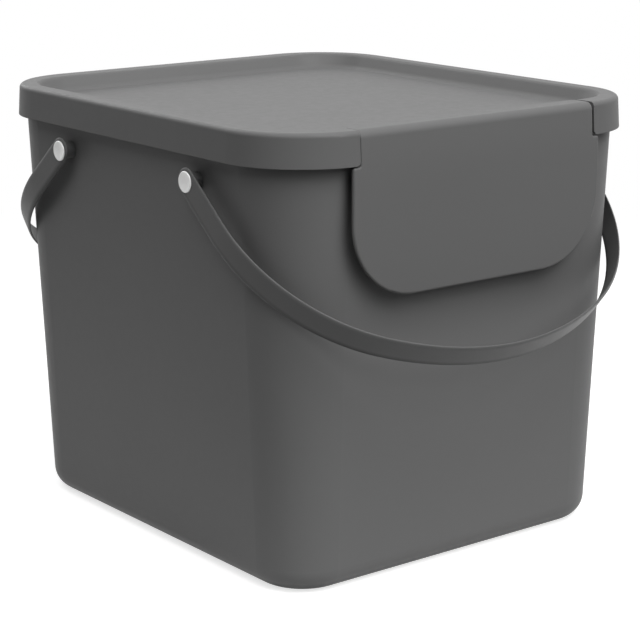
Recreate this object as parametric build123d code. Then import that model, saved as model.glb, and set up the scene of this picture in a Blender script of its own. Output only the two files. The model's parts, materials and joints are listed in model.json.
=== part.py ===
"""Stackable waste bin: tapered tub with a feed throat, lift-off lid with a stacking tray, front flap, two bail handles.

Millimetres. X to the right seen from the front, the front faces -Y, +Z up, origin under the middle of the base.
"""

from build123d import *
from math import cos, radians, sin, sqrt, tan
import os

# How far a cutting body stands past what it cuts
margin = 5.0

# Tub
base_width = 315.0
base_depth = 357.1
base_corner_radius = 41.7
wall_draft = 2.33
wall = 2.2
base_edge_radius = 17.6
floor_height = 4.8
foot_ring_inset = 30.0
foot_recess = 2.3
rim_height = 7.0
rim_bead = 1.2
rim_bevel = 0.8

# Throat in the front wall, behind the flap
throat_half_width = 103.0
throat_bottom = 246.0
throat_corner_radius = 32.0
throat_lip = 2.4
throat_lip_reach = 2.6
throat_reach = 60.0
rim_gap_half_width = 118.0
rim_gap_bottom = 318.0

# Lid
lid_width = 357.2
lid_depth = 400.0
lid_corner_radius = 66.9
lid_top = 340.0
skirt_height = 24.4
skirt_draft = 3.6
lid_edge_radius = 3.6
tray_width = 324.0
tray_depth = 359.0
tray_corner_radius = 44.0
tray_sink = 11.6
tray_slope = 34.0
tray_fillet = 7.0
crest_fillet = 4.0

# Notch in the front of the lid that the flap fills
notch_half_width = 112.3
notch_rear = 177.7
notch_corner_radius = 8.0
bulkhead = 3.0
bulkhead_bottom = 320.0
skirt_end_radius = 3.5

# Flap
seam = 0.6
flap_thickness = 2.6
flap_front = 199.9
flap_bottom = 219.3
flap_half_width = 118.0
flap_corner_radius = 55.0
flap_shoulder_radius = 2.0
flap_nose_radius = 6.0
flap_bend_radius = 400.0
flap_bend_start = 303.0
flap_edge_radius = 1.5
flap_side_play = 0.4
hinge_y = -188.5
hinge_z = 336.4
hinge_pin_radius = 2.0
hinge_web = 2.6
hinge_web_run = 13.7

# Handles
pivot_y = 86.4
pivot_z = 296.4
strap_width = 20.4
strap_thickness = 1.8
strap_edge_bevel = 0.45
strap_half_span = 180.8
strap_reach = 193.3
strap_corner_radius = 136.0
strap_crown_radius = 235.8
strap_droop = 39.6

# Rivets
running_gap = 0.05
face_gap = 0.15
boss_radius = 6.4
stem_radius = 3.2
neck_radius = 1.9
eye_recess_radius = 8.2
eye_recess_depth = 0.6
button_radius = 7.6
button_thickness = 1.2
button_edge_run = 0.9
button_edge_drop = 0.5
button_dish_depth = 0.45
button_dish_slope = 1.6
pad_face = 166.0
pad_radius = 7.5
washer_radius = 6.5
washer_thickness = 2.0
barb_height = 0.45
barb_length = 2.4

skirt_bottom = lid_top - skirt_height
crest_underside = lid_top - wall
tray_floor = lid_top - tray_sink
draft_run = tan(radians(wall_draft))
strap_inner = strap_half_span - strap_thickness
button_seat = strap_half_span - eye_recess_depth + face_gap
boss_face = strap_inner - face_gap
pin_reach = notch_half_width + bulkhead - seam / 2
flap_shoulder = skirt_bottom - 1.5 * seam


def tapered(width, depth, radius, bottom, top, draft):
    """A rounded block between two heights that widens upwards by its draft, in degrees."""
    outline = Pos(0, 0, bottom) * RectangleRounded(width, depth, radius)
    return extrude(outline, amount=top - bottom, taper=-draft)


def tub_block(inset, bottom, top):
    """The tub's tapered block between two heights, moved in from the outside of the wall by the inset."""
    spread = 2 * (bottom * draft_run - inset)
    radius = base_corner_radius + spread / 2
    return tapered(base_width + spread, base_depth + spread, radius, bottom, top, wall_draft)


def side_rod(radius, x_from, x_to, y, z):
    """A round rod along X between two X positions."""
    rod = Cylinder(radius, abs(x_to - x_from))
    return Pos((x_from + x_to) / 2, y, z) * Rot(0, 90, 0) * rod


def edges_at_height(solid, height):
    return solid.edges().filter_by_position(Axis.Z, height - 0.01, height + 0.01)


def throat_prism(grow):
    """The U of the feed throat, with its outline moved out by grow, as a prism through the front wall."""
    half = throat_half_width + grow
    low = throat_bottom - grow
    height = 2 * (lid_top - low)
    u_face = RectangleRounded(2 * half, height, throat_corner_radius + grow)
    placed = Pos(0, -base_depth / 2, low + height / 2) * Rot(90, 0, 0) * u_face
    return extrude(placed, amount=throat_reach, both=True)


def make_tub():
    rim_top = crest_underside
    outside = tub_block(0, 0, rim_top)
    outside = fillet(edges_at_height(outside, 0), base_edge_radius)
    inside = tub_block(wall, floor_height, rim_top + margin)
    inside = fillet(edges_at_height(inside, floor_height), base_edge_radius - wall)
    bead = tub_block(-rim_bead, rim_top - rim_height, rim_top)
    bead = chamfer(edges_at_height(bead, rim_top), rim_bevel)
    lip = tub_block(-throat_lip_reach, throat_bottom - 4 * margin, rim_top - rim_bevel)
    lip = lip & (throat_prism(throat_lip) - throat_prism(0))
    tub = outside + bead + lip

    for side in (-1, 1):
        for end in (-1, 1):
            boss = side_rod(boss_radius, side * (pad_face + wall), side * boss_face, end * pivot_y, pivot_z)
            tub += boss
    tub -= inside
    for side in (-1, 1):
        for end in (-1, 1):
            tub += side_rod(pad_radius, side * pad_face, side * (pad_face + wall), end * pivot_y, pivot_z)
            hole = neck_radius + running_gap
            tub -= side_rod(
                hole, side * (pad_face - margin), side * (boss_face + margin), end * pivot_y, pivot_z
            )

    tub -= throat_prism(0)
    gap_height = lid_top - rim_gap_bottom
    gap = Box(2 * rim_gap_half_width, 2 * throat_reach, gap_height)
    tub -= Pos(0, -base_depth / 2, rim_gap_bottom + gap_height / 2) * gap
    foot = RectangleRounded(
        base_width - 2 * foot_ring_inset,
        base_depth - 2 * foot_ring_inset,
        base_corner_radius - foot_ring_inset / 2,
    )
    return tub - extrude(foot, amount=foot_recess)


def notch_outline(grow):
    """The notch for the flap seen from above, with its outline moved out by grow."""
    half = notch_half_width + grow
    rear = notch_rear - grow
    length = 2 * (lid_depth / 2 + 2 * margin - rear)
    return Pos(0, -rear - length / 2, 0) * RectangleRounded(2 * half, length, notch_corner_radius + grow)


def skirt_end_cutter(side):
    """What rounds the lower corner of the skirt where it ends at the notch."""
    reach = lid_depth / 2 - notch_rear + bulkhead
    inner = side * (notch_half_width + skirt_end_radius)
    square = Box(skirt_end_radius, 2 * reach, skirt_end_radius)
    square = Pos(inner - side * skirt_end_radius / 2, 0, skirt_end_radius / 2) * square
    round_end = Pos(inner, 0, skirt_end_radius) * Rot(90, 0, 0) * Cylinder(skirt_end_radius, 2 * reach)
    return Pos(0, -lid_depth / 2, skirt_bottom) * (square - round_end)


def lid_hollow():
    """The space under the lid, one wall inside the skirt and the crest and one wall under the tray."""
    space = Pos(0, 0, skirt_bottom) * RectangleRounded(
        lid_width - 2 * wall, lid_depth - 2 * wall, lid_corner_radius - wall
    )
    space = extrude(space, amount=crest_underside - skirt_bottom, taper=skirt_draft)
    floor_underside = tray_floor - wall
    side_wall = wall / cos(radians(tray_slope))
    inset = (lid_top - floor_underside) * tan(radians(tray_slope)) - side_wall
    tray = tapered(
        tray_width - 2 * inset,
        tray_depth - 2 * inset,
        tray_corner_radius - inset,
        floor_underside,
        lid_top,
        tray_slope,
    )
    return space - tray


def make_lid():
    outside = Pos(0, 0, skirt_bottom) * RectangleRounded(lid_width, lid_depth, lid_corner_radius)
    outside = extrude(outside, amount=skirt_height, taper=skirt_draft)
    outside = fillet(edges_at_height(outside, lid_top), lid_edge_radius)
    slope_run = tray_sink * tan(radians(tray_slope))
    pocket = tapered(
        tray_width - 2 * slope_run,
        tray_depth - 2 * slope_run,
        tray_corner_radius - slope_run,
        tray_floor,
        lid_top + margin,
        tray_slope,
    )
    full = outside - pocket
    full = fillet(edges_at_height(full, tray_floor), tray_fillet)
    inner_loop = [
        edge
        for edge in edges_at_height(full, lid_top)
        if abs(edge.center().X) < tray_width / 2 + wall and abs(edge.center().Y) < tray_depth / 2 + wall
    ]
    full = fillet(inner_loop, crest_fillet)
    cut = extrude(notch_outline(0), amount=lid_top + margin)
    border = extrude(notch_outline(bulkhead), amount=lid_top) - cut
    border -= Box(2 * lid_width, 2 * lid_depth, 2 * bulkhead_bottom)
    lid = (full - lid_hollow()) + (full & border) - cut
    for side in (-1, 1):
        lid -= skirt_end_cutter(side)
        start = side * (notch_half_width - margin)
        end = side * (notch_half_width + bulkhead + margin)
        lid -= side_rod(hinge_pin_radius + running_gap, start, end, hinge_y, hinge_z)
    return lid


def flap_section(inset):
    """The space behind the flap's outer surface, moved in by inset, as a face in the YZ plane."""
    front = -flap_front + inset
    turn = radians(skirt_draft)
    bend = flap_bend_radius - inset
    nose = flap_nose_radius - inset
    bend_end_y = front + bend * (1 - cos(turn))
    bend_end_z = flap_bend_start + bend * sin(turn)
    top = lid_top - inset
    nose_centre_z = top - nose
    lean_run = (nose_centre_z + nose * sin(turn) - bend_end_z) * tan(turn)
    nose_start_y = bend_end_y + lean_run
    nose_start_z = nose_centre_z + nose * sin(turn)
    nose_centre_y = nose_start_y + nose * cos(turn)
    half_turn = (radians(90) - turn) / 2
    nose_mid_y = nose_centre_y - nose * cos(turn + half_turn)
    nose_mid_z = nose_centre_z + nose * sin(turn + half_turn)
    bend_mid_y = front + bend * (1 - cos(turn / 2))
    bend_mid_z = flap_bend_start + bend * sin(turn / 2)
    low = flap_bottom - 4 * margin
    back = -notch_rear + 4 * margin
    path = [
        Line((0, front, low), (0, front, flap_bend_start)),
        ThreePointArc(
            (0, front, flap_bend_start), (0, bend_mid_y, bend_mid_z), (0, bend_end_y, bend_end_z)
        ),
        Line((0, bend_end_y, bend_end_z), (0, nose_start_y, nose_start_z)),
        ThreePointArc(
            (0, nose_start_y, nose_start_z), (0, nose_mid_y, nose_mid_z), (0, nose_centre_y, top)
        ),
        Line((0, nose_centre_y, top), (0, back, top)),
        Line((0, back, top), (0, back, low)),
        Line((0, back, low), (0, front, low)),
    ]
    return make_face(Wire(path))


def flap_outline():
    """The flap seen from the front, as a prism: narrow between the skirt's ends, wide below them."""
    neck_half = notch_half_width - seam
    neck_low = flap_shoulder - skirt_height
    neck_top = lid_top + margin
    wide = Pos(0, (flap_bottom + flap_shoulder) / 2) * Rectangle(2 * flap_half_width, flap_shoulder - flap_bottom)
    wide = fillet(wide.vertices().group_by(Axis.Y)[0], flap_corner_radius)
    wide = fillet(wide.vertices().group_by(Axis.Y)[-1], flap_shoulder_radius)
    face = wide + Pos(0, (neck_low + neck_top) / 2) * Rectangle(2 * neck_half, neck_top - neck_low)
    inner = [v for v in face.vertices() if abs(abs(v.X) - neck_half) < 0.01 and v.Y < skirt_bottom]
    face = fillet(inner, skirt_end_radius + seam)
    return extrude(Pos(0, -lid_depth / 2, 0) * Rot(90, 0, 0) * face, amount=throat_reach, both=True)


def on_flap_rim(edge):
    """True for an edge round the flap's outer skin, false for the joints between the skin's own faces."""
    centre = edge.center()
    if centre.Y > hinge_y - hinge_pin_radius and centre.Z < lid_top - 0.01:
        return False
    runs_across = abs(edge.tangent_at(0.5).X) > 0.999
    at_end = centre.Z < flap_bottom + 1 or centre.Y > -notch_rear - 2 * seam
    if abs(centre.X) < 1:
        return at_end
    return not runs_across or abs(centre.Z - flap_shoulder) < 0.01


def make_flap():
    block = extrude(flap_section(0), amount=flap_half_width + margin, both=True)
    clip = extrude(notch_outline(-seam), amount=lid_top + margin)
    clip += Pos(0, -lid_depth / 2, flap_shoulder / 2) * Box(3 * flap_half_width, throat_reach, flap_shoulder)
    block = block & flap_outline() & clip
    block = fillet([edge for edge in block.edges() if on_flap_rim(edge)], flap_edge_radius)
    flap = block - extrude(flap_section(flap_thickness), amount=flap_half_width + 2 * margin, both=True)
    web_face = make_face(
        Polyline(
            (0, -flap_front, lid_top),
            (0, -flap_front + hinge_web_run, lid_top),
            (0, hinge_y + 2 * hinge_pin_radius, hinge_z - hinge_pin_radius),
            (0, hinge_y - hinge_pin_radius, hinge_z - 2.5 * hinge_pin_radius),
            (0, -flap_front, lid_top - hinge_web_run),
            close=True,
        )
    )
    neck_half = notch_half_width - seam
    for side in (-1, 1):
        web = Pos(side * (neck_half - hinge_web / 2), 0, 0) * extrude(web_face, amount=hinge_web / 2, both=True)
        flap += web & block
        flap += side_rod(hinge_pin_radius, side * (neck_half - 1), side * pin_reach, hinge_y, hinge_z)
    return flap


def bail_edges(inset):
    """One edge of the strap in its own plane: legs, corner arcs and crown, moved in by inset."""
    half = strap_half_span - inset
    corner = strap_corner_radius - inset
    crown = strap_crown_radius - inset
    crown_y = strap_crown_radius - strap_reach
    corner_x = strap_half_span - strap_corner_radius
    apart = strap_crown_radius - strap_corner_radius
    corner_y = crown_y - sqrt(apart**2 - corner_x**2)
    start_y = strap_width
    meet_x = corner_x + corner * corner_x / apart
    meet_y = corner_y + corner * (corner_y - crown_y) / apart
    chord_x = (half + meet_x) / 2 - corner_x
    chord_y = (corner_y + meet_y) / 2 - corner_y
    stretch = corner / sqrt(chord_x**2 + chord_y**2)
    mid_x = corner_x + chord_x * stretch
    mid_y = corner_y + chord_y * stretch
    right = [
        Line((half, start_y), (half, corner_y)),
        ThreePointArc((half, corner_y), (mid_x, mid_y), (meet_x, meet_y)),
    ]
    left = [
        ThreePointArc((-meet_x, meet_y), (-mid_x, mid_y), (-half, corner_y)),
        Line((-half, corner_y), (-half, start_y)),
    ]
    crown_arc = ThreePointArc((meet_x, meet_y), (0, crown_y - crown), (-meet_x, meet_y))
    return right + [crown_arc] + left


def make_strap():
    """A flat strap bent into a bail, lying level with its pivots on the X axis and its crown towards -Y."""
    outer = bail_edges(0)
    inner = bail_edges(strap_thickness)
    ends = [
        Line((side * strap_half_span, strap_width), (side * strap_inner, strap_width)) for side in (-1, 1)
    ]
    band = extrude(make_face(outer + inner + ends), amount=strap_width, both=True)
    side_view = Circle(strap_width / 2) + Pos(-strap_reach, 0) * Rectangle(2 * strap_reach, strap_width)
    side_view = Plane.YZ * side_view
    strap = band & extrude(side_view, amount=strap_half_span + margin, both=True)
    strap = chamfer(strap.edges() - strap.edges().filter_by(Axis.Z), strap_edge_bevel)
    reach = strap_half_span + margin
    for side in (-1, 1):
        floor = side * (strap_half_span - eye_recess_depth)
        strap -= side_rod(eye_recess_radius, floor, side * reach, 0, 0)
    return strap - side_rod(stem_radius + running_gap, -reach, reach, 0, 0)


def make_button():
    """A snap rivet on +Z: dished button, stem for the strap's eye, neck through the wall, barbed tip."""
    stem_length = button_seat - boss_face
    neck_end = pad_face - button_seat - washer_thickness
    tip = neck_end - barb_length
    crown_radius = button_radius - button_edge_run
    dish_floor = button_thickness - button_dish_depth
    profile = Polyline(
        (0, 0, dish_floor),
        (crown_radius - button_dish_slope, 0, dish_floor),
        (crown_radius, 0, button_thickness),
        (button_radius, 0, button_thickness - button_edge_drop),
        (button_radius, 0, 0),
        (stem_radius, 0, 0),
        (stem_radius, 0, -stem_length),
        (neck_radius, 0, -stem_length),
        (neck_radius, 0, neck_end),
        (neck_radius + barb_height, 0, neck_end),
        (neck_radius - barb_height, 0, tip),
        (0, 0, tip),
        close=True,
    )
    return revolve(make_face(profile), Axis.Z)


def make_washer():
    """The washer that the rivet's barbed tip holds."""
    return Cylinder(washer_radius, washer_thickness) - Cylinder(neck_radius + running_gap, washer_thickness)


def make_rivets():
    """The four rivets and the four washers inside the tub, by name."""
    button = make_button()
    washer = make_washer()
    nodes = {}
    for side, side_name in ((-1, "left"), (1, "right")):
        for end, end_name in ((-1, "front"), (1, "rear")):
            turn = Rot(0, side * 90, 0)
            button_place = Pos(side * button_seat, end * pivot_y, pivot_z)
            washer_place = Pos(side * (pad_face - washer_thickness / 2), end * pivot_y, pivot_z)
            nodes[f"rivet_{end_name}_{side_name}"] = button_place * turn * button
            nodes[f"washer_{end_name}_{side_name}"] = washer_place * turn * washer
    return nodes


def make_nodes():
    strap = make_strap()
    nodes = {
        "bin_body": make_tub(),
        "lid": make_lid(),
        "flap": Pos(-flap_side_play, 0, 0) * make_flap(),
        "front_handle": Pos(0, -pivot_y, pivot_z) * Rot(strap_droop, 0, 0) * strap,
        "rear_handle": Pos(0, pivot_y, pivot_z) * Rot(0, 0, 180) * Rot(strap_droop, 0, 0) * strap,
    }
    nodes.update(make_rivets())
    return nodes


if __name__ == "__main__":
    os.makedirs("parts", exist_ok=True)
    for name, solid in make_nodes().items():
        export_step(solid, f"parts/{name}.step")
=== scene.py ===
"""Looks of the stackable waste bin: camera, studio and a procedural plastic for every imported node.

Metres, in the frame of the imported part: X to the right seen from the front, the front faces -Y, +Z up.
"""

import json
import math

import bmesh
import bpy
from mathutils import Euler, Matrix, Vector


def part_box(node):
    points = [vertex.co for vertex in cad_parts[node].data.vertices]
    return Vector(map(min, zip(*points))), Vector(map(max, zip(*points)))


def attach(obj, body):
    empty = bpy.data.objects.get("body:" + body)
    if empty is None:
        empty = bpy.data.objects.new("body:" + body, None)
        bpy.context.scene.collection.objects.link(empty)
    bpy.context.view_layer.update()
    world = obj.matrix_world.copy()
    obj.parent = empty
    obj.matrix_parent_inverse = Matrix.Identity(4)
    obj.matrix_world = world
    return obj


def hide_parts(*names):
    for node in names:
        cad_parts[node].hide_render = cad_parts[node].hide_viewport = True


# Camera, as found from the photograph: metres, degrees, and millimetres for the lens and sensor
CAMERA_PLACE = (-0.9799, -1.2702, 0.5535)
CAMERA_YAW = 37.854
CAMERA_PITCH = 14.101
CAMERA_ROLL = -0.1
CAMERA_LENS = 114.746
CAMERA_CLIP = (0.05, 50)
SENSOR_WIDTH = 36.0

# Studio. Each pair of floor values fades from the first to the second over a reach from the origin.
FLOOR_HALF = 30.0
SHADOW_REACH = (0.45, 1.3)
FLOOR_GLOW = (0.72, 1.0)
FLOOR_PAPER = (0.55, 0.0)
BOUNCE_REACH = (0.28, 0.5)
FLOOR_BOUNCE = (0.62, 0.15)
LAMPS = {
    "front": {"place": (0.2, -2.4, 2.6), "aim": (0, 0, 0.2), "size": 3.0, "power": 84},
    "key": {"place": (0.3, -1.6, 2.2), "aim": (0, 0, 0.2), "size": 1.2, "power": 27},
    "left": {"place": (-1.4, -0.6, 2.3), "aim": (0, 0, 0.2), "size": 1.4, "power": 24},
    "rear": {"place": (0, 2.6, 1.6), "aim": (0, 0, 0.2), "size": 1.5, "power": 21},
    "top": {"place": (0.2, 0.2, 2.4), "aim": (0, 0, 0.3), "size": 2.4, "power": 19},
}

# Plastics, with linear colours. Each colour is darkened by ambient occlusion within a reach: painted shade
# in seams and gaps, and on the tub, whose reach is widest, under the lid's skirt and behind the straps
PLAIN = {"grain": 0.5, "edge_radius": 0.0006, "painted_shade_reach": 0.003, "gloss": 0.15, "coat": 0.0}
# The tub and the lid are one plastic: the tub's slightly lighter colour is painted light on the lower
# parts, and the lid's darker one painted shade on the upper parts
TUB = PLAIN | {"colour": (0.122, 0.122, 0.122), "roughness": 0.5, "painted_shade_reach": 0.008}
LID = PLAIN | {"colour": (0.115, 0.115, 0.115), "roughness": 0.5, "painted_shade_reach": 0.001}
STRAP = PLAIN | {"colour": (0.107, 0.107, 0.107), "roughness": 0.45, "edge_radius": 0.0003}
WASHER = PLAIN | {"colour": (0.62, 0.62, 0.59), "roughness": 0.4, "grain": 0.2}
BUTTON = PLAIN | {
    "colour": (0.95, 0.95, 0.94), "roughness": 0.3, "grain": 0.2,
    "edge_radius": 0.0002, "gloss": 1.0, "coat": 1.0,
}
REFRACTIVE_INDEX = 1.49
COAT_ROUGHNESS = 0.2
ROUGHNESS_SPREAD = 0.03
RAY_SAMPLES = 4
SMOOTH_ANGLE = 32.0

# Noise in the plastics from coarse to fine, and the strength and depth of the bumps that it gives
CLOUDS = {"scale": 9, "detail": 3}
MOTTLE = {"scale": 160, "detail": 4, "roughness": 0.6}
SPECKLE = {"scale": 900, "detail": 2}
CLOUD_BUMP = (0.1, 0.0004)
MOTTLE_BUMP = (0.06, 0.0001)
SPECKLE_BUMP = (0.35, 0.00005)
CLOUD_TINT = (0.99, 1.01)
NOISE_SPAN = (0.3, 0.7)

# Painted shade along a strap's lower edge: its start and full strength, in from the edge, and the factor
# there
EDGE_SHADE_BAND = (0.0048, 0.0016)
EDGE_SHADE_FACTOR = 0.45

# Snap rivets
HEAD_RADIUS = 0.0079
HEAD_HEIGHT = 0.0012
RIM_WIDTH = 0.0011
RIM_HEIGHT = 0.0008
DISH_DEPTH = 0.0011
STEM_RADIUS = 0.0032
STEM_LENGTH = 0.0015
NECK_RADIUS = 0.0019
BARB_RADIUS = 0.00235
BARB_LENGTH = 0.0024
RIVET_TURNS = 72
ARC_STEPS = 8

# Straps, bent into bails
STRAP_WIDTH = 0.0204
STRAP_THICKNESS = 0.0018
STRAP_HALF_SPAN = 0.1808
STRAP_REACH = 0.1933
STRAP_CORNER = 0.136
STRAP_CROWN = 0.2358
STRAP_DROOP = 39.6
SHOULDER_WIDTH = 0.0034
SHOULDER_DEPTH = 0.0013
BACK_ROUND = 0.0004
FLAT_BORDER = 0.0003
EYE_RADIUS = 0.00325
RECESS_RADIUS = 0.0082
RECESS_DEPTH = 0.0006
BEND_STEPS = 22
END_STEPS = 24
SLIVER = 0.00002


def node_tree(name):
    """A new material with an empty tree, its shader and its output."""
    material = bpy.data.materials.new(name)
    material.use_nodes = True
    tree = material.node_tree
    tree.nodes.clear()
    output = tree.nodes.new("ShaderNodeOutputMaterial")
    shader = tree.nodes.new("ShaderNodeBsdfPrincipled")
    tree.links.new(shader.outputs["BSDF"], output.inputs["Surface"])
    return material, tree, shader


def remap(tree, value, old, new, interpolation="LINEAR"):
    """A value brought from the old range into the new one, and held inside it."""
    node = tree.nodes.new("ShaderNodeMapRange")
    node.interpolation_type = interpolation
    for socket, bound in zip(("From Min", "From Max", "To Min", "To Max"), (*old, *new)):
        node.inputs[socket].default_value = bound
    tree.links.new(value, node.inputs["Value"])
    return node.outputs["Result"]


def scaled(tree, colour, factor):
    """A colour, given as numbers or by a node, made lighter or darker by a factor."""
    node = tree.nodes.new("ShaderNodeVectorMath")
    node.operation = "SCALE"
    if isinstance(colour, tuple):
        node.inputs[0].default_value = colour
    else:
        tree.links.new(colour, node.inputs[0])
    tree.links.new(factor, node.inputs["Scale"])
    return node.outputs["Vector"]


def noise(tree, scale, detail, roughness=0.5):
    """Solid noise over the object's own space."""
    coordinates = tree.nodes.new("ShaderNodeTexCoord")
    texture = tree.nodes.new("ShaderNodeTexNoise")
    texture.inputs["Scale"].default_value = scale
    texture.inputs["Detail"].default_value = detail
    texture.inputs["Roughness"].default_value = roughness
    tree.links.new(coordinates.outputs["Object"], texture.inputs["Vector"])
    return texture.outputs["Fac"]


def bumps(tree, edge_radius, layers):
    """Rounded edges with bumps one on the other, each (height output, strength, depth in metres)."""
    edge = tree.nodes.new("ShaderNodeBevel")
    edge.samples = RAY_SAMPLES
    edge.inputs["Radius"].default_value = edge_radius
    normal = edge.outputs["Normal"]
    for height, strength, depth in layers:
        node = tree.nodes.new("ShaderNodeBump")
        node.inputs["Strength"].default_value = strength
        node.inputs["Distance"].default_value = depth
        tree.links.new(height, node.inputs["Height"])
        tree.links.new(normal, node.inputs["Normal"])
        normal = node.outputs["Normal"]
    return normal


def painted_crevice_shade(tree, colour, reach):
    """The colour with painted shade, darker by ambient occlusion in seams and gaps as narrow as the reach.
    """
    near = tree.nodes.new("ShaderNodeAmbientOcclusion")
    near.samples = RAY_SAMPLES
    near.inputs["Distance"].default_value = reach
    tree.links.new(colour, near.inputs["Color"])
    return near.outputs["Color"]


def painted_edge_shade(tree, colour, pivot, lower_side):
    """The colour with painted shade along the strap's lower edge, darkest at the edge."""
    coordinates = tree.nodes.new("ShaderNodeTexCoord")
    across = tree.nodes.new("ShaderNodeVectorMath")
    across.operation = "DOT_PRODUCT"
    tree.links.new(coordinates.outputs["Object"], across.inputs[0])
    across.inputs[1].default_value = lower_side
    edge = lower_side.dot(pivot) + STRAP_WIDTH / 2
    band = [edge - inset for inset in EDGE_SHADE_BAND]
    shade = remap(tree, across.outputs["Value"], band, (1.0, EDGE_SHADE_FACTOR))
    return scaled(tree, colour, shade)


def moulded_plastic(
    name, colour, roughness, grain, edge_radius, painted_shade_reach, gloss, coat, lower_edge=None
):
    """Polypropylene with a spark-eroded grain, faint flow clouds and uneven gloss, with painted shade in
    seams and gaps and, for a strap, along its lower edge.
    """
    material, tree, shader = node_tree(name)
    clouds = noise(tree, **CLOUDS)
    mottle = noise(tree, **MOTTLE)
    speckle = noise(tree, **SPECKLE)
    tinted = scaled(tree, colour, remap(tree, clouds, NOISE_SPAN, CLOUD_TINT))
    # painted shade: ambient occlusion darkens the colour in seams and gaps
    shaded = painted_crevice_shade(tree, tinted, painted_shade_reach)
    # painted shade along a strap's lower edge
    if lower_edge:
        shaded = painted_edge_shade(tree, shaded, *lower_edge)
    tree.links.new(shaded, shader.inputs["Base Color"])
    uneven = (roughness - ROUGHNESS_SPREAD, roughness + ROUGHNESS_SPREAD)
    tree.links.new(remap(tree, mottle, NOISE_SPAN, uneven), shader.inputs["Roughness"])
    layers = [(clouds, *CLOUD_BUMP)]
    for height, (strength, depth) in ((mottle, MOTTLE_BUMP), (speckle, SPECKLE_BUMP)):
        layers.append((height, strength * grain, depth))
    tree.links.new(bumps(tree, edge_radius, layers), shader.inputs["Normal"])
    shader.inputs["IOR"].default_value = REFRACTIVE_INDEX
    shader.inputs["Specular IOR Level"].default_value = gloss
    shader.inputs["Coat Weight"].default_value = coat
    shader.inputs["Coat Roughness"].default_value = COAT_ROUGHNESS
    return material


def add_camera():
    """The camera at the photograph's place, angle and lens."""
    data = bpy.data.cameras.new("camera")
    data.sensor_width = SENSOR_WIDTH
    data.lens = CAMERA_LENS
    data.clip_start, data.clip_end = CAMERA_CLIP
    camera = bpy.data.objects.new("camera", data)
    turn = Euler((math.radians(90 - CAMERA_PITCH), 0, math.radians(-CAMERA_YAW))).to_matrix()
    roll = Matrix.Rotation(math.radians(CAMERA_ROLL), 3, "Z")
    camera.matrix_world = Matrix.Translation(CAMERA_PLACE) @ (turn @ roll).to_4x4()
    bpy.context.scene.collection.objects.link(camera)
    bpy.context.scene.camera = camera


def add_lamp(name, place, aim, size, power):
    """A square lamp of a size in metres and a power in watts."""
    data = bpy.data.lights.new(name, "AREA")
    data.shape = "SQUARE"
    data.size = size
    data.energy = power
    lamp = bpy.data.objects.new(name, data)
    lamp.location = place
    lamp.rotation_euler = (Vector(aim) - Vector(place)).to_track_quat("-Z", "Y").to_euler()
    bpy.context.scene.collection.objects.link(lamp)


def seen_directly(tree):
    """1 for camera rays, reflections and refractions, 0 for light that falls on the object."""
    paths = tree.nodes.new("ShaderNodeLightPath")
    total = paths.outputs["Is Camera Ray"]
    for name in ("Is Glossy Ray", "Is Transmission Ray"):
        node = tree.nodes.new("ShaderNodeMath")
        node.operation = "MAXIMUM"
        tree.links.new(total, node.inputs[0])
        tree.links.new(paths.outputs[name], node.inputs[1])
        total = node.outputs["Value"]
    return total


def make_world():
    """A background that is white where it is seen and gives no light."""
    world = bpy.data.worlds.new("studio")
    bpy.context.scene.world = world
    world.use_nodes = True
    tree = world.node_tree
    background = tree.nodes["Background"]
    background.inputs["Color"].default_value = (1, 1, 1, 1)
    tree.links.new(seen_directly(tree), background.inputs["Strength"])


def floor_paper():
    """White paper with a soft shadow near the object, which bounces less light further from it."""
    material = bpy.data.materials.new("floor_paper")
    material.use_nodes = True
    tree = material.node_tree
    tree.nodes.clear()
    distance = tree.nodes.new("ShaderNodeVectorMath")
    distance.operation = "LENGTH"
    place = tree.nodes.new("ShaderNodeNewGeometry").outputs["Position"]
    tree.links.new(place, distance.inputs[0])

    def fade(reach, values):
        return remap(tree, distance.outputs["Value"], reach, values, "SMOOTHSTEP")

    glow = tree.nodes.new("ShaderNodeEmission")
    tree.links.new(fade(SHADOW_REACH, FLOOR_GLOW), glow.inputs["Strength"])
    paper = tree.nodes.new("ShaderNodeBsdfDiffuse")
    tree.links.new(fade(SHADOW_REACH, FLOOR_PAPER), paper.inputs["Color"])
    shown = tree.nodes.new("ShaderNodeAddShader")
    tree.links.new(glow.outputs["Emission"], shown.inputs[0])
    tree.links.new(paper.outputs["BSDF"], shown.inputs[1])
    bounce = tree.nodes.new("ShaderNodeBsdfDiffuse")
    tree.links.new(fade(BOUNCE_REACH, FLOOR_BOUNCE), bounce.inputs["Color"])
    choice = tree.nodes.new("ShaderNodeMixShader")
    tree.links.new(seen_directly(tree), choice.inputs["Fac"])
    tree.links.new(bounce.outputs["BSDF"], choice.inputs[1])
    tree.links.new(shown.outputs["Shader"], choice.inputs[2])
    output = tree.nodes.new("ShaderNodeOutputMaterial")
    tree.links.new(choice.outputs["Shader"], output.inputs["Surface"])
    return material


def make_floor():
    """The floor that the object stands on, too wide for its edge to show."""
    mesh = bpy.data.meshes.new("floor")
    corners = [(x * FLOOR_HALF, y * FLOOR_HALF, 0) for x, y in ((-1, -1), (1, -1), (1, 1), (-1, 1))]
    mesh.from_pydata(corners, [], [(0, 1, 2, 3)])
    mesh.materials.append(floor_paper())
    floor = bpy.data.objects.new("floor", mesh)
    bpy.context.scene.collection.objects.link(floor)


def smooth(node):
    """Smooth shading with the real edges left sharp."""
    bpy.ops.object.select_all(action="DESELECT")
    bpy.context.view_layer.objects.active = node
    node.select_set(True)
    bpy.ops.object.shade_smooth_by_angle(angle=math.radians(SMOOTH_ANGLE))


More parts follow.
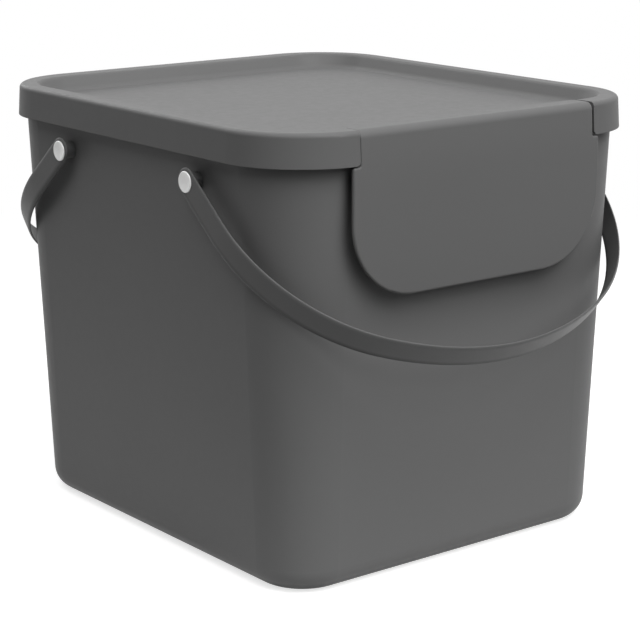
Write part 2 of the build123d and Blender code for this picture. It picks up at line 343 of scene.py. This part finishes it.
def mesh_object(name, shape):
    """An object in the scene from a closed bmesh, with its faces turned outwards."""
    bmesh.ops.recalc_face_normals(shape, faces=shape.faces)
    mesh = bpy.data.meshes.new(name)
    shape.to_mesh(mesh)
    shape.free()
    made = bpy.data.objects.new(name, mesh)
    bpy.context.scene.collection.objects.link(made)
    return made


def add_piece(name, shape, material, body, node_name):
    """A piece of its own from a bmesh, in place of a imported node."""
    piece = mesh_object(name, shape)
    piece.data.materials.append(material)
    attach(piece, body)
    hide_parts(node_name)
    return piece


def join_rings(shape, near, far):
    """Faces between two rings of points, either of which may be one point."""
    count = max(len(near), len(far))
    for step in range(count):
        after = (step + 1) % count
        corners = [near[step % len(near)], near[after % len(near)]]
        corners += [far[after % len(far)], far[step % len(far)]]
        shape.faces.new(dict.fromkeys(corners))


def lathe(shape, profile, side, seat, y, z):
    """Turns a profile of (radius, height above the seat) about a line along X, outwards to the side."""
    rings = []
    for radius, height in profile:
        ring = []
        for step in range(RIVET_TURNS if radius > 0 else 1):
            turn = 2 * math.pi * step / RIVET_TURNS
            place = (seat + side * height, y + radius * math.cos(turn), z + radius * math.sin(turn))
            ring.append(shape.verts.new(place))
        rings.append(ring)
    for near, far in zip(rings, rings[1:]):
        join_rings(shape, near, far)


def rivet_profile(length):
    """Half of a rivet's section as (radius, height above the seat), from the dish to the tip."""
    rim_middle = HEAD_RADIUS - RIM_WIDTH
    tip = HEAD_HEIGHT - length
    points = []
    for step in range(ARC_STEPS + 1):
        part = step / ARC_STEPS
        points.append((part * rim_middle, HEAD_HEIGHT - DISH_DEPTH * (1 - part**2)))
    for step in range(1, ARC_STEPS + 1):
        turn = step / ARC_STEPS * math.pi / 2
        radius = rim_middle + RIM_WIDTH * math.sin(turn)
        points.append((radius, HEAD_HEIGHT - RIM_HEIGHT * (1 - math.cos(turn))))
    points += [(HEAD_RADIUS, 0), (STEM_RADIUS, 0), (STEM_RADIUS, -STEM_LENGTH)]
    points += [(NECK_RADIUS, -STEM_LENGTH), (NECK_RADIUS, tip + BARB_LENGTH)]
    points += [(BARB_RADIUS, tip + BARB_LENGTH), (2 * NECK_RADIUS - BARB_RADIUS, tip), (0, tip)]
    return points


def make_rivet(node_name, material):
    """A rivet with a dished head and a rounded rim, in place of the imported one."""
    low, high = (Vector(corner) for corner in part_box(node_name))
    side = 1 if low.x > 0 else -1
    middle = (low + high) / 2
    seat = (high.x if side > 0 else low.x) - side * HEAD_HEIGHT
    shape = bmesh.new()
    lathe(shape, rivet_profile(high.x - low.x), side, seat, middle.y, middle.z)
    smooth(add_piece(f"{node_name}_head", shape, material, "bin", node_name))


def strap_stations():
    """Places along the strap's outer face, with the strap level, as (x, y, turn of the normal from -Y)."""
    crown_y = STRAP_CROWN - STRAP_REACH
    corner_x = STRAP_HALF_SPAN - STRAP_CORNER
    apart = STRAP_CROWN - STRAP_CORNER
    corner_y = crown_y - math.sqrt(apart**2 - corner_x**2)
    meet = math.asin(corner_x / apart)
    quarter = math.pi / 2
    stations = [(-STRAP_HALF_SPAN, 0, -quarter), (-STRAP_HALF_SPAN, corner_y, -quarter)]
    arcs = (
        (-corner_x, corner_y, STRAP_CORNER, -quarter, -meet),
        (0, crown_y, STRAP_CROWN, -meet, meet),
        (corner_x, corner_y, STRAP_CORNER, meet, quarter),
    )
    for x, y, radius, start, end in arcs:
        for step in range(1, BEND_STEPS + 1):
            turn = start + (end - start) * step / BEND_STEPS
            stations.append((x + radius * math.sin(turn), y - radius * math.cos(turn), turn))
    stations.append((STRAP_HALF_SPAN, 0, quarter))
    return stations


def strap_section():
    """Half of the strap's section as (inset from its edge, depth below its outer face)."""
    section = [(SHOULDER_WIDTH + FLAT_BORDER, 0)]
    for step in range(ARC_STEPS + 1):
        turn = (1 - step / ARC_STEPS) * math.pi / 2
        inset = SHOULDER_WIDTH * (1 - math.cos(turn))
        section.append((inset, SHOULDER_DEPTH * (1 - math.sin(turn))))
    for step in range(ARC_STEPS + 1):
        turn = step / ARC_STEPS * math.pi / 2
        inset = BACK_ROUND * (1 - math.cos(turn))
        section.append((inset, STRAP_THICKNESS - BACK_ROUND * (1 - math.sin(turn))))
    section.append((BACK_ROUND + FLAT_BORDER, STRAP_THICKNESS))
    return section


def strap_ring(stations, inset, depth):
    """Points round the strap: its upper edge, the right end, its lower edge backwards, the left end."""
    half = STRAP_WIDTH / 2 - inset
    line = [(x - depth * math.sin(turn), y + depth * math.cos(turn)) for x, y, turn in stations]
    ends = [math.pi * step / END_STEPS for step in range(1, END_STEPS)]
    ring = [(x, y, half) for x, y in line]
    ring += [(line[-1][0], half * math.sin(turn), half * math.cos(turn)) for turn in ends]
    ring += [(x, y, -half) for x, y in reversed(line)]
    ring += [(line[0][0], half * math.sin(turn), -half * math.cos(turn)) for turn in ends]
    return ring


def close_band(shape, ring, count):
    """Closes one face of the strap inside a ring that has a count of stations along each edge."""
    start = count + END_STEPS - 1
    lower = ring[start:start + count][::-1]
    for step in range(count - 1):
        shape.faces.new((ring[step], ring[step + 1], lower[step + 1], lower[step]))
    shape.faces.new(ring[count - 1:start + 1])
    shape.faces.new([lower[0], *ring[start + count:], ring[0]])


def eye_cutter():
    """The bores and the recesses for the rivets' heads, for a strap that lies level about the origin."""
    far = 2 * STRAP_THICKNESS
    profile = [(0, far), (RECESS_RADIUS, far), (RECESS_RADIUS, -RECESS_DEPTH)]
    profile += [(EYE_RADIUS, -RECESS_DEPTH), (EYE_RADIUS, -far), (0, -far)]
    shape = bmesh.new()
    for side in (-1, 1):
        lathe(shape, profile, side, side * STRAP_HALF_SPAN, 0, 0)
    return mesh_object("cutter", shape)


def cut_eyes(strap):
    """Cuts both ends of a strap for its rivets, and closes the slivers that the cut leaves."""
    cutter = eye_cutter()
    modifier = strap.modifiers.new("eyes", "BOOLEAN")
    modifier.operation = "DIFFERENCE"
    modifier.solver = "EXACT"
    modifier.object = cutter
    cut = bpy.data.meshes.new_from_object(strap.evaluated_get(bpy.context.evaluated_depsgraph_get()))
    strap.modifiers.clear()
    bpy.data.objects.remove(cutter)
    shape = bmesh.new()
    shape.from_mesh(cut)
    bmesh.ops.remove_doubles(shape, verts=shape.verts, dist=SLIVER)
    shape.to_mesh(cut)
    shape.free()
    strap.data = cut


def make_strap(node_name, place, material):
    """A strap with round shoulders on its outer face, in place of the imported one."""
    stations = strap_stations()
    shape = bmesh.new()
    rings = []
    for inset, depth in strap_section():
        rings.append([shape.verts.new(point) for point in strap_ring(stations, inset, depth)])
    for near, far in zip(rings, rings[1:]):
        join_rings(shape, near, far)
    close_band(shape, rings[0], len(stations))
    close_band(shape, rings[-1], len(stations))
    strap = add_piece(f"{node_name}_strap", shape, material, node_name, node_name)
    cut_eyes(strap)
    strap.data.transform(place)
    smooth(strap)


def make_handle(name, pivot):
    """A handle's strap, drooping from its pivot as in the photograph; gives its plastic."""
    turned = math.pi if name.startswith("rear") else 0
    place = Matrix.Rotation(turned, 4, "Z") @ Matrix.Rotation(math.radians(STRAP_DROOP), 4, "X")
    # the pivot and the strap's lower side, which place the painted shade along its lower edge
    lower_edge = Vector(pivot), place @ Vector((0, 0, -1))
    material = moulded_plastic(f"{name}_plastic", **STRAP, lower_edge=lower_edge)
    make_strap(name, Matrix.Translation(pivot) @ place, material)
    return material


def dress(nodes, pivots):
    """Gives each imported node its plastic, and makes the rivets and straps that replace theirs."""
    tub = moulded_plastic("tub_plastic", **TUB)
    lid = moulded_plastic("lid_plastic", **LID)
    button = moulded_plastic("button_plastic", **BUTTON)
    washer = moulded_plastic("washer_plastic", **WASHER)
    for name, node in nodes.items():
        if name == "bin_body":
            material = tub
        elif name.startswith("rivet"):
            material = button
            make_rivet(name, button)
        elif name.startswith("washer"):
            material = washer
        elif name.endswith("handle"):
            material = make_handle(name, pivots[name])
        else:
            material = lid
        node.data.materials.clear()
        node.data.materials.append(material)
        smooth(node)


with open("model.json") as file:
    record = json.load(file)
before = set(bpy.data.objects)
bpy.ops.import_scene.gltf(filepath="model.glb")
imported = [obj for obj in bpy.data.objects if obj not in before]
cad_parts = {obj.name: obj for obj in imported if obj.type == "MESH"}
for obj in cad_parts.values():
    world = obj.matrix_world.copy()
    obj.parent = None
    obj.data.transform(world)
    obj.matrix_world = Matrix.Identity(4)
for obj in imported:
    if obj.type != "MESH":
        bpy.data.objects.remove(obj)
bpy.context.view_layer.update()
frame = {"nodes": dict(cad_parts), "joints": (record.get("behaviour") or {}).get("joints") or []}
add_camera()
make_world()
make_floor()
for lamp_name, lamp in LAMPS.items():
    add_lamp(lamp_name, **lamp)
dress(frame["nodes"], {joint["child"]: joint["pos_m"] for joint in frame["joints"] if "pos_m" in joint})
bpy.context.scene.view_settings.view_transform = "Standard"
